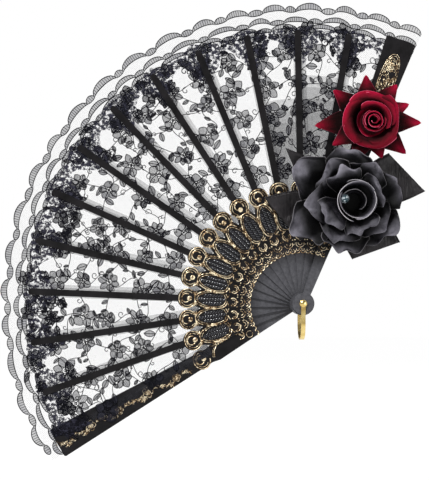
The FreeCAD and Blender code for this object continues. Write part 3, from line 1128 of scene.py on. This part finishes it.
def draw_flowers(work):
    draw = random.Random(7)
    rings = []
    for number, (radius, count) in enumerate(FLOWER_RINGS):
        ring = []
        for n in range(count):
            turn = (n + 0.25 + 0.5 * (number % 2)) * PANELS / count + draw.uniform(-0.12, 0.12)
            r = radius + draw.uniform(-3.5, 3.5)
            ring.append(fan_place(min(turn, PANELS + 0.3), r))
        rings.append(ring)
    for ring in rings:
        for x, z in ring:
            size = draw.uniform(7.0, 10.5)
            lace_flower(work, x, z, size, draw.choice((5, 6, 6, 7)), draw)
    for ring in rings:
        for start, end in zip(ring, ring[1:]):
            lace_vine(work, start, end, draw.uniform(-5.0, 5.0), draw)
    for inner, outer in zip(rings, rings[1:]):
        for x, z in inner:
            near = sorted(outer, key=lambda place: math.dist(place, (x, z)))[:2]
            for place in near:
                lace_vine(work, (x, z), place, draw.uniform(-6.0, 6.0), draw)


# %% [markdown]
# Past the tips of the ribs the cloth is gathered: it lies in dark crumpled layers round each tip, and
# then opens into a ruffled border, which runs on a little past both guards. Its edge is a row of
# crescents, a wide one and a narrow one in turn, worked in close threads between two cords, with two
# fainter rows inside it.

# %% Gathers and scallops
GATHER_LAYERS = 3
GATHER_APART = 0.2
SCALLOP_DEPTH = 5.5
BORDER_FROM = -0.3
BORDER_TO = PANELS + 0.22
NET_FROM = LEAF_OUTER - 2.0
NET_TO = EDGE_OUTER - SCALLOP_DEPTH
SCALLOP_ROWS = (
    (NET_TO, SCALLOP_DEPTH, 4.6), (LEAF_OUTER + 3.5, 4.5, 3.6), (LEAF_OUTER - 2.0, 4.0, 3.2))
HATCH_PITCH = 1.8


def draw_scallops(work, base, depth, band, seed):
    """One row of crescents all round, with its points at the radius base."""
    draw = random.Random(seed)
    turn, wide = BORDER_FROM, True
    while turn < BORDER_TO - 0.2:
        width = draw.uniform(17.0, 23.0) if wide else draw.uniform(7.0, 11.0)
        rise = depth * draw.uniform(0.82, 1.0) if wide else depth * draw.uniform(0.3, 0.5)
        span = min(math.degrees(width / base) / STEP, BORDER_TO - turn)
        outer, inner = [], []
        for share in steps_between(0.0, 1.0, 10):
            swell = abs(math.sin(math.pi * share)) ** 0.6
            outer.append(fan_place(turn + span * share, base + rise * swell))
            inner.append(fan_place(turn + span * share, base - 1.2 + (rise + 1.2 - band) * swell))
        length = base * math.radians(span * STEP)
        work.shape(inner, outer, max(2, round(length / HATCH_PITCH)))
        turn, wide = turn + span, not wide


def draw_edging(work):
    draw = random.Random(11)
    for seed, (base, depth, band) in enumerate(SCALLOP_ROWS):
        draw_scallops(work, base, depth, band, 31 + seed)
    for n in range(PANELS * 9):
        turn = draw.gauss(round(n / 9), 0.2) if n % 3 else draw.uniform(0, PANELS)
        turn = min(PANELS - 0.05, max(0.05, turn))
        radius = draw.uniform(RIB_TIP - 22, LEAF_OUTER + 1)
        x, z = fan_place(turn, radius)
        if n % 4 == 0:
            lace_flower(work, x, z, draw.uniform(4.0, 7.0), 5, draw)
        else:
            gap = math.floor(turn)
            end = min(gap + 0.92, max(gap + 0.08, turn + draw.uniform(-0.3, 0.3)))
            lace_vine(work, (x, z), fan_place(end, radius + draw.uniform(-12, 1)), 3.0, draw)


def make_gathers(number):
    """Dark crumpled layers between the leaf and its border, deepest round the tips of the ribs."""
    draw = random.Random(90 + number)
    patches = []
    for layer in range(GATHER_LAYERS):
        shift = draw.uniform(-0.4, 0.4)
        deep = draw.uniform(13.0, 21.0)

        def edge(turn, side):
            near_rib = abs(math.cos(math.pi * (turn + 0.12 * shift))) ** 2.2
            rough = 4.0 * noise.noise(Vector((turn * 5.0, layer * 3.0 + side, number * 0.1)))
            if side == 0:
                return RIB_TIP - 3.0 - (4.0 + deep * near_rib) + rough
            return RIB_TIP - 3.0 + (3.0 + 3.0 * near_rib) + rough

        columns, rows = 24, 7
        points = []
        for i in range(rows):
            for j in range(columns + 1):
                turn = number + j / columns
                low, high = edge(turn, 0), edge(turn, 1)
                radius = low + (high - low) * i / (rows - 1)
                wave = 0.3 * math.sin(turn * 40 + layer * 2 + radius * 0.3)
                points.append(on_leaf(turn, radius, GATHER_APART * layer + wave))
        patches.append(mesh_of(points, grid_faces(rows, columns + 1), LACE_GATHER))
    return patches


def border_span(number):
    """From where to where, in sticks, the border of a panel goes."""
    first = BORDER_FROM if number == 0 else number
    last = BORDER_TO if number == PANELS - 1 else number + 1
    return first, last


def make_edging_net(number):
    rows, columns = 7, 24
    points = [
        on_leaf(turn, radius)
        for radius in steps_between(NET_FROM, NET_TO, rows - 1)
        for turn in steps_between(*border_span(number), columns)]
    net = mesh_of(points, grid_faces(rows, columns + 1), LACE_NET)
    return gather(f"lace_edging_{number + 1:02d}", [net])


def stitched(name, work, number, cord, thread, extra=()):
    """The strokes and fills of one panel as one piece, with radii in millimetres."""
    return gather(name, [
        *extra, mesh_of(*work.fills[number], LACE_CLOTH),
        sweep_lines(work.cords[number], cord, LACE_CORD, 4),
        sweep_lines(work.threads[number], thread, LACE_CORD, 3)])


GROUND, BORDER = LaceWork(), LaceWork()
draw_flowers(GROUND)
draw_edging(BORDER)
GROUND_PENS = (0.28, 0.13)
BORDER_PENS = (0.36, 0.22)


for number in range(PANELS):
    leaf = make_leaf_panel(number)
    flowers = stitched(f"lace_flowers_{number + 1:02d}", GROUND, number, *GROUND_PENS)
    lining = make_lining(number)
    edging = make_edging_net(number)
    border = stitched(
        f"lace_border_{number + 1:02d}", BORDER, number, *BORDER_PENS, make_gathers(number))
    for piece in (leaf, flowers, lining, edging, border):
        keep_flat_place(piece)
        fold_with_leaf(piece, number)
    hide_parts(f"leaf_panel_{number + 1:02d}")
    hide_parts(f"edging_panel_{number + 1:02d}")
print("lace on", PANELS, "panels; the last has", len(flowers.data.polygons), "faces of flowers")

# %% [markdown]
# Both roses are cut cloth, pressed over a hot ball so that each petal is a shallow dish, and then
# bent by hand. A petal is a grid whose middle line is a smooth curve from the heart of the flower to
# the tip, given as distance from the axis, height and half width. Its corners are taken off by making
# it shorter towards its sides, so one function cuts round and pointed petals alike. Solidify and one
# level of subdivision give the cloth its thickness.

# %% A petal
PETAL_CLOTH = 0.5
PLEAT = 0.07
ALONG_STEPS = [0.0, 0.1, 0.2, 0.31, 0.42, 0.53, 0.64, 0.74, 0.83, 0.9, 0.96, 0.985, 1.0]
ACROSS_STEPS = [-1.0, -0.97, -0.86, -0.7, -0.5, -0.25, 0.0, 0.25, 0.5, 0.7, 0.86, 0.97, 1.0]
ROUND_TIP = (0.30, 3.0)
SOFT_POINT = (0.52, 1.5)
SHARP_POINT = (0.86, 0.82)


def along_curve(points, share):
    """A place on a smooth line through a few points, as a share of the way along it."""
    last = len(points) - 1
    at = min(share * last, last - 0.000001)
    n = int(at)
    s = at - n
    a, b, c, d = [Vector(points[min(last, max(0, n + k))]) for k in (-1, 0, 1, 2)]
    bend = 2 * a - 5 * b + 4 * c - d
    return (2 * b + (c - a) * s + bend * s ** 2 + (3 * b - a - 3 * c + d) * s ** 3) / 2


def flower_foot(node):
    """The middle of a flower on its foot, where its core stands."""
    low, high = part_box(node)
    return Vector(((low[0] + high[0]) / 2, high[1], (low[2] + high[2]) / 2)) / MM


def rim_highlight_share(u, v, rolled_up):
    """How much painted highlight the edge gets: all of it on the lip of a rolled petal, a little round a
    flat one.
    """
    if rolled_up:
        return 1.0 if u > 0.97 else 0.0
    return 0.3 if u == 1 or abs(v) == 1 else 0.0


def petal(foot, direction, profile, tip, wrap, crumple, skew, cup, seed):
    """Points of one petal, and at each how far outwards it is and whether it is on the rim. wrap
    bends the petal round the axis, and skew moves one side of it outwards."""
    cut, power = tip
    lean = math.radians(direction)
    points, outwards, rim_highlights = [], [], []
    for u in ALONG_STEPS:
        for v in ACROSS_STEPS:
            share = u * (1 - cut * abs(v) ** power)
            reach, height, half = along_curve(profile, share)
            rough = crumple * smooth_step(share * 1.2)
            reach += rough * noise.noise(Vector((share * 2.6, v * 2.3, seed * 3.7)))
            height += rough * 1.6 * noise.noise(Vector((share * 3.1, v * 2.7, seed * 5.3 + 9)))
            crease = abs(noise.noise(Vector((share * 4.2 + v * 1.5, v * 4.4, seed * 2.9))))
            height -= rough * 0.9 * crease
            height += cup * v * v * share + crumple * PLEAT * share * math.cos(8 * v + seed)
            reach += skew * v
            across = half * v
            angle = lean + wrap * across / max(reach, 3.0)
            side = across * (1 - wrap)
            points.append(Vector((
                foot.x + reach * math.cos(angle) - side * math.sin(lean), foot.y - height,
                foot.z + reach * math.sin(angle) + side * math.cos(lean))) * MM)
            # rim_highlights: where a painted highlight goes along the petal's edge.
            rim_highlights.append(rim_highlight_share(u, v, wrap == 1))
            # outwards: how far a point lies from the painted shade at the heart.
            outwards.append(smooth_step((share - 0.48) / 0.5) ** 1.2)
    return points, outwards, rim_highlights


def rolled(foot, turns, roll, tip, crumple, skew, seed):
    """Petals that wrap all the way round the axis. roll makes each one's profile from its sizes."""
    return [
        petal(foot, direction, roll(*rolled_sizes), tip, 1.0, crumple, skew, 0.0, seed + number)
        for number, (direction, *rolled_sizes) in enumerate(turns)]


def thicken(piece, cloth):
    shell = piece.modifiers.new("cloth", "SOLIDIFY")
    shell.thickness = cloth * MM
    shell.offset = 0.0


def stand_for(piece, node):
    """A flower's piece rides on the front guard, and takes the place of its solid in the frame."""
    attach(piece, BODIES[0])
    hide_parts(node)


def petals_piece(name, petals, finish, node):
    """One object of several petals, with their rims marked."""
    faces = grid_faces(len(ALONG_STEPS), len(ACROSS_STEPS))
    piece = gather(name, [mesh_of(made[0], faces, finish) for made in petals])
    for column, attribute in ((1, "outwards"), (2, "rim")):
        layer = piece.data.attributes.new(attribute, "FLOAT", "POINT")
        layer.data.foreach_set("value", [value for made in petals for value in made[column]])
    thicken(piece, PETAL_CLOTH)
    smooth = piece.modifiers.new("soft", "SUBSURF")
    smooth.levels = 1
    smooth.render_levels = 1
    stand_for(piece, node)
    print(name, "has", len(petals), "petals")


# %% [markdown]
# The black rose has three loose rings of broad, crumpled petals and a deep dark cup in its middle.
# The cup's petals wrap round it, each starting inside the last, so its rim is a spiral line. The
# stone is glued inside the cup, to the left.

# %% The black rose
def black_rose():
    """Three rings of crumpled petals round a cup."""
    foot = flower_foot("black_rose_core")
    draw = random.Random(3)
    outer = [(7, 1, 7), (20, 4, 15), (31, 9, 19), (38, 11.5, 17), (43, 8.5, 12)]
    middle = [(6, 4, 6), (16, 9, 13), (24, 15, 17), (30, 18.5, 16), (34, 15, 10)]
    inner = [(5, 7, 5), (12, 13, 10), (18, 20, 14), (22, 24, 14), (25.5, 21.5, 10)]

    def ring(profile, directions, tip, crumple, cup, seed):
        made = []
        for number, direction in enumerate(directions):
            longer = 1.14 if profile is outer and 140 < direction < 220 else 1.0
            grown = [
                (r * longer * draw.uniform(0.97, 1.02), h * draw.uniform(0.9, 1.08), w)
                for r, h, w in profile]
            made.append(petal(
                foot, direction, grown, tip, 0.35, crumple, draw.uniform(-2.0, 2.0), cup, seed + number))
        return made

    cup = rolled(
        foot + Vector((3.0, 0.0, 0.0)),
        ((150, 15.4, 27.0, 31), (20, 14.6, 26.0, 28), (268, 13.8, 25.2, 27), (60, 8.5, 15, 16)),
        lambda rim, height, half: [
            (2.0, 7.0, 4.0), (rim * 0.7, 9.0, half * 0.6), (rim * 0.93, 16.0, half * 0.9),
            (rim, height - 2, half), (rim * 1.04, height, half)],
        (0.06, 6.0), 1.2, 1.0, 31)
    for name, petals, part in (
            ("outer_cloth", ring(outer, (92, 150, 208, 262, 318, 20), SOFT_POINT, 9.0, 3.0, 1),
             "outer_petals"),
            ("middle_cloth", ring(middle, (58, 128, 186, 248, 322), SOFT_POINT, 7.5, 1.5, 11),
             "middle_petals"),
            ("inner_cloth", ring(inner, (25, 110, 212, 292), ROUND_TIP, 5.0, 0.5, 21),
             "inner_petals"),
            ("cup", cup, "bud")):
        petals_piece("black_rose_" + name, petals, BLACK_SATIN, "black_rose_" + part)


# %% [markdown]
# The red rose is velvet, with sharp outer petals like a star, a round cup of rolled petals, and a
# tight whorl in the middle. Each pointed petal has its own reach, because they are cut by hand.

# %% The red rose
POINTED = (
    (94, 36), (52, 36), (22, 34), (-3, 41), (-42, 40), (-72, 32), (-108, 34), (-146, 35), (186, 44),
    (141, 37))


def red_rose():
    """A star of pointed petals, two cups of rolled ones, and a whorl."""
    foot = flower_foot("red_rose_core")
    inner_foot = foot + Vector((1.6, 0.0, -0.6))
    draw = random.Random(5)
    star = []
    for number, (direction, reach) in enumerate(POINTED):
        low = 1.0 + 2.2 * (number % 2)
        blade = [
            (4, low, 4), (reach * 0.36, low + 1.5, 12), (reach * 0.62, low + 4, 15),
            (reach * 0.84, low + 5.5, 13), (reach + 2, low + 5.5, 9)]
        star.append(petal(
            foot, direction, blade, SHARP_POINT, 0.0, 1.6, 0.0, draw.uniform(-3.5, -1.0), number))
    cup = rolled(
        foot, ((168, 0.0), (262, 0.7), (350, 0.9), (72, -0.6)),
        lambda more: [
            (5, 3, 5), (12.5, 6, 13), (15.0, 14, 22), (16.5 + more, 20, 25), (20.0 + more, 21.5, 26),
            (22.0 + more, 18.5, 26)],
        (0.10, 5.0), 2.4, 1.3, 41)
    inner_cup = rolled(
        inner_foot, ((58, 14.6, 22.0), (185, 12.4, 12.0), (285, 12.4, 11.5)),
        lambda rim, height: [
            (3, 7, 4), (rim * 0.62, 10, 12), (rim * 0.72, 16, 16), (rim * 0.84, height, 19),
            (rim, height - 1.0, 19)],
        (0.08, 5.0), 0.8, 0.8, 51)
    whorl = rolled(
        inner_foot,
        ((250, 8.2, 20.5, 20), (80, 6.6, 22.6, 17), (180, 4.6, 23.8, 13), (330, 2.6, 24.4, 7.5)),
        lambda rim, height, half: [
            (1.0, 9.0, 2.0), (rim * 0.8, 14.0, half * 0.7), (rim * 0.98, 19.0, half * 0.9),
            (rim, height, half), (rim * 1.12, height + 0.3, half)],
        (0.10, 4.0), 0.5, 0.6, 61)
    for name, petals, part in (
            ("star", star, "pointed_petals"), ("cup", cup, "outer_petals"),
            ("inner_cup", inner_cup, "inner_petals"), ("whorl", whorl, "bud")):
        petals_piece("red_rose_" + name, petals, RED_VELVET, "red_rose_" + part)


black_rose()
red_rose()

# %% [markdown]
# The bow behind the roses is satin ribbon, and each of its loops is a flattened tube of ribbon that
# narrows into the knot. The loop's place, length and slanted end are read from its solid in the
# frame, and the cloth is laid round that with a few soft wrinkles and a woven selvedge.

# %% The ribbon loops
RIBBON_CLOTH = 0.35
SELVEDGE = 0.3
LOOP_SIDES = 28
LOOP_ROWS = 16


def loop_outline(node, knot):
    """Direction of a loop from the knot, and its points in its own frame."""
    co = points_of(node)
    flat = co[:, [0, 2]] - np.array([knot.x, knot.z])
    distance = np.hypot(flat[:, 0], flat[:, 1])
    near = flat[distance < distance.min() + 0.5]
    other = near[np.argmax(np.hypot(*(near - near[0]).T))]
    middle = (near[0] + other) / 2
    return co, flat, math.atan2(middle[1], middle[0])


def ribbon_loop(number, name):
    """Lays cloth round one loop's solid. Rows go across the ribbon, and each goes once round it."""
    knot = flower_foot("black_rose_core")
    co, flat, direction = loop_outline(name, knot)
    along = flat[:, 0] * math.cos(direction) + flat[:, 1] * math.sin(direction)
    across = -flat[:, 0] * math.sin(direction) + flat[:, 1] * math.cos(direction)
    half = (across.max() - across.min()) / 2
    middle = (across.max() + across.min()) / 2
    high = along[across > middle + half * 0.8].max()
    low = along[across < middle - half * 0.8].max()
    front, back = co[:, 1].min(), co[:, 1].max()
    depth, thick = (front + back) / 2, (back - front) / 2
    start = along.min()
    points = []
    for v in steps_between(-1, 1, LOOP_ROWS):
        end = low + (high - low) * (v + 1) / 2
        for j in range(LOOP_SIDES):
            turn = 2 * math.pi * j / LOOP_SIDES
            out = 0.5 - 0.5 * math.copysign(abs(math.cos(turn)) ** 0.6, math.cos(turn))
            spread = 0.42 + 0.58 * smooth_step(out * 1.7)
            wrinkle = noise.noise(Vector((out * 2.0 + number * 5, v * 2.4, 0.0)))
            crease = math.exp(-(v * 3 - wrinkle) ** 2) * (1 - out)
            swell = math.copysign(abs(math.sin(turn)) ** 0.6, math.sin(turn))
            lift = swell * thick * (0.8 + 0.6 * wrinkle) + 1.2 * wrinkle * out - 1.1 * crease * swell
            place = start + (end - start) * out
            side = middle + v * half * spread
            points.append(Vector((
                knot.x + place * math.cos(direction) - side * math.sin(direction), depth - lift,
                knot.z + place * math.sin(direction) + side * math.cos(direction))) * MM)
    selvedge = [points[row * LOOP_SIDES:(row + 1) * LOOP_SIDES] for row in (0, LOOP_ROWS)]
    selvedge = [line + line[:1] for line in selvedge]
    cloth = mesh_of(points, grid_faces(LOOP_ROWS + 1, LOOP_SIDES, closed=True), SATIN_RIBBON)
    piece = gather(f"satin_{name}", [cloth, sweep_lines(selvedge, SELVEDGE, SATIN_RIBBON, 5)])
    thicken(piece, RIBBON_CLOTH)
    stand_for(piece, name)


for number, name in enumerate(("right", "left", "lower", "upper")):
    ribbon_loop(number, "ribbon_loop_" + name)
print("four ribbon loops")

# %% [markdown]
# The parts that come from the frame keep their shape and get their finish here.

# %% Finishes for the frame's own parts
FRAME_FINISH = {
    "black_plastic": BLACK_PLASTIC, "polished_brass": POLISHED_BRASS, "felt": FELT,
    "black_lace": LACE_NET, "ribbon_satin": SATIN_RIBBON, "black_rose_satin": BLACK_SATIN,
    "red_velvet": RED_VELVET, "cut_glass": CUT_GLASS}
for entry in frame["record"]["subparts"]:
    node = frame["nodes"][entry["node"]]
    node.data.materials.clear()
    node.data.materials.append(FRAME_FINISH[entry["material_slot"]])
